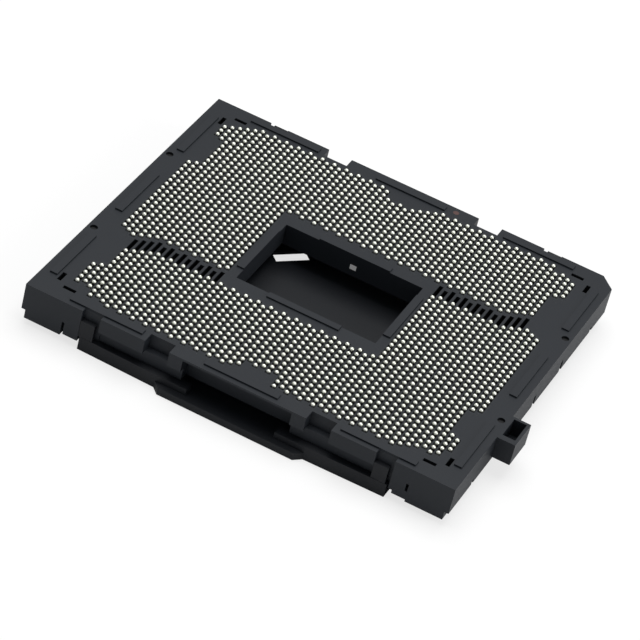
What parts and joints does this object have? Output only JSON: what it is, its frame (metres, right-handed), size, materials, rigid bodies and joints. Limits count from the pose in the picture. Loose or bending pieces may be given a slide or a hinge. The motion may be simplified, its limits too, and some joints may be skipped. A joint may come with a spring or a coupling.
{
  "type": "ic socket",
  "caption": "Surface-mount land grid array processor socket with a field of solder balls round a central window, carried on its clip-on pick-and-place cap.",
  "frame": {"origin": "on the cap's flat outer face, under the middle of the part's whole outline", "axes": "+Z out of the board face with the solder balls, X along the long side with the key block at +X, Y along the short side"},
  "size_m": [0.0606, 0.0536, 0.0061],
  "materials": {
    "housing": "matt, fine grain",
    "cap": "matt, fine grain",
    "solder": "satin tin",
    "contact": "gold flash"
  },
  "bodies": {
    "root": {"housing": "housing", "pick_and_place_cap": "cap", "solder_balls_rear_1": "solder", "solder_balls_rear_2": "solder", "solder_balls_rear_3": "solder", "solder_balls_rear_4": "solder", "solder_balls_rear_5": "solder", "solder_balls_front_1": "solder", "solder_balls_front_2": "solder", "solder_balls_front_3": "solder", "solder_balls_front_4": "solder", "solder_balls_front_5": "solder", "spring_contacts_rear_1": "contact", "spring_contacts_rear_2": "contact", "spring_contacts_rear_3": "contact", "spring_contacts_rear_4": "contact", "spring_contacts_rear_5": "contact", "spring_contacts_front_1": "contact", "spring_contacts_front_2": "contact", "spring_contacts_front_3": "contact", "spring_contacts_front_4": "contact", "spring_contacts_front_5": "contact"}
  },
  "joints": []
}
